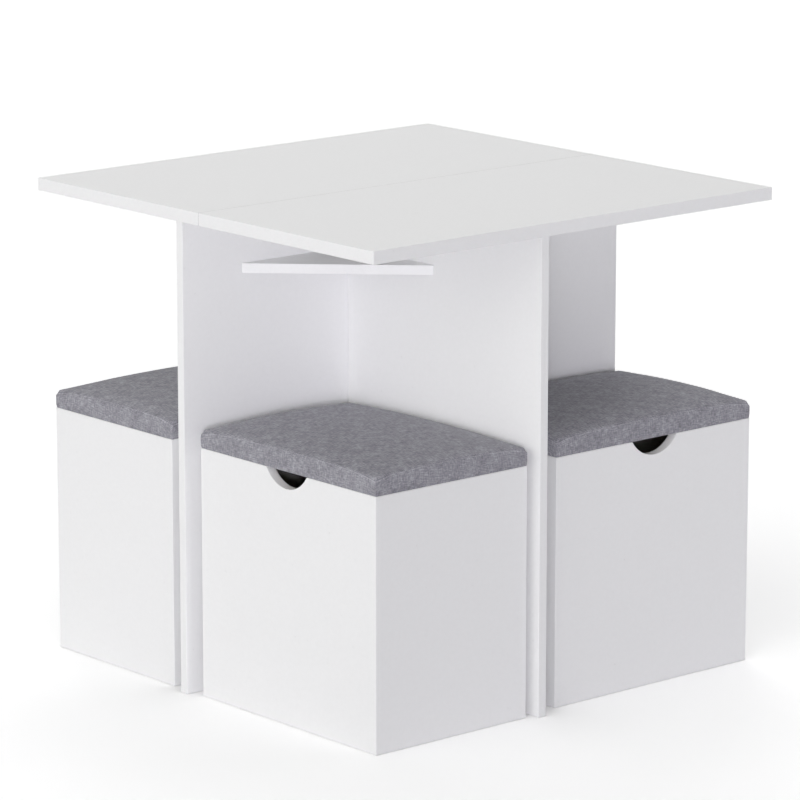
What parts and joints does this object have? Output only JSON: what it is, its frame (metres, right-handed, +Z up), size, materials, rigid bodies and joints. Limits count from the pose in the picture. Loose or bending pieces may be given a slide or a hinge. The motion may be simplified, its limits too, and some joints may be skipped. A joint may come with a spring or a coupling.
{
  "type": "dining table and stool set",
  "caption": "Square dining table on a pinwheel base of flat panels, with box stools that tuck in under it and have lift-off padded lids.",
  "frame": {"origin": "on the floor under the middle of the table top", "axes": "+Z up; the seam of the top runs along Y; the front bay opens towards -Y and the right bay towards +X"},
  "size_m": [0.8, 0.8, 0.755],
  "materials": {
    "white_laminate": "white melamine-faced chipboard, satin",
    "grey_fabric": "woven mid-grey melange upholstery fabric over foam",
    "raw_board": "uncoated chipboard",
    "hardboard": "white-faced hardboard",
    "zinc": "die-cast zinc",
    "plated_steel": "bright plated steel"
  },
  "bodies": {
    "table": {"front_brace": "white_laminate", "front_cam_bolt_1": "plated_steel", "front_cam_drum_1": "zinc", "front_frame_screw_1": "plated_steel", "front_frame_screw_2": "plated_steel", "front_leg_panel": "white_laminate", "left_brace": "white_laminate", "left_cam_bolt_1": "plated_steel", "left_cam_drum_1": "zinc", "left_frame_screw_1": "plated_steel", "left_frame_screw_2": "plated_steel", "left_leg_panel": "white_laminate", "left_top_board": "white_laminate", "rear_brace": "white_laminate", "rear_cam_bolt_1": "plated_steel", "rear_cam_drum_1": "zinc", "rear_frame_screw_1": "plated_steel", "rear_frame_screw_2": "plated_steel", "rear_leg_panel": "white_laminate", "right_brace": "white_laminate", "right_cam_bolt_1": "plated_steel", "right_cam_drum_1": "zinc", "right_frame_screw_1": "plated_steel", "right_frame_screw_2": "plated_steel", "right_leg_panel": "white_laminate", "right_top_board": "white_laminate"},
    "front_stool": {"front_stool_back_board": "white_laminate", "front_stool_bottom": "hardboard", "front_stool_front_board": "white_laminate", "front_stool_left_board": "white_laminate", "front_stool_right_board": "white_laminate"},
    "front_lid": {"front_lid_board": "raw_board", "front_lid_locator": "raw_board", "front_seat_pad": "grey_fabric"},
    "right_stool": {"right_stool_back_board": "white_laminate", "right_stool_bottom": "hardboard", "right_stool_front_board": "white_laminate", "right_stool_left_board": "white_laminate", "right_stool_right_board": "white_laminate"},
    "right_lid": {"right_lid_board": "raw_board", "right_lid_locator": "raw_board", "right_seat_pad": "grey_fabric"},
    "rear_stool": {"rear_stool_back_board": "white_laminate", "rear_stool_bottom": "hardboard", "rear_stool_front_board": "white_laminate", "rear_stool_left_board": "white_laminate", "rear_stool_right_board": "white_laminate"},
    "rear_lid": {"rear_lid_board": "raw_board", "rear_lid_locator": "raw_board", "rear_seat_pad": "grey_fabric"},
    "left_stool": {"left_stool_back_board": "white_laminate", "left_stool_bottom": "hardboard", "left_stool_front_board": "white_laminate", "left_stool_left_board": "white_laminate", "left_stool_right_board": "white_laminate"},
    "left_lid": {"left_lid_board": "raw_board", "left_lid_locator": "raw_board", "left_seat_pad": "grey_fabric"}
  },
  "joints": [
    {"name": "front_stool_slide", "type": "slide", "parent": "table", "child": "front_stool", "axis": [0, -1, 0], "range_m": [0, 0.45]},
    {"name": "front_lid_lift", "type": "slide", "parent": "front_stool", "child": "front_lid", "axis": [0, 0, 1], "range_m": [0, 0.18]},
    {"name": "right_stool_slide", "type": "slide", "parent": "table", "child": "right_stool", "axis": [1, 0, 0], "range_m": [0, 0.45]},
    {"name": "right_lid_lift", "type": "slide", "parent": "right_stool", "child": "right_lid", "axis": [0, 0, 1], "range_m": [0, 0.18]},
    {"name": "rear_stool_slide", "type": "slide", "parent": "table", "child": "rear_stool", "axis": [0, 1, 0], "range_m": [0, 0.45]},
    {"name": "rear_lid_lift", "type": "slide", "parent": "rear_stool", "child": "rear_lid", "axis": [0, 0, 1], "range_m": [0, 0.18]},
    {"name": "left_stool_slide", "type": "slide", "parent": "table", "child": "left_stool", "axis": [-1, 0, 0], "range_m": [0, 0.45]},
    {"name": "left_lid_lift", "type": "slide", "parent": "left_stool", "child": "left_lid", "axis": [0, 0, 1], "range_m": [0, 0.18]}
  ]
}
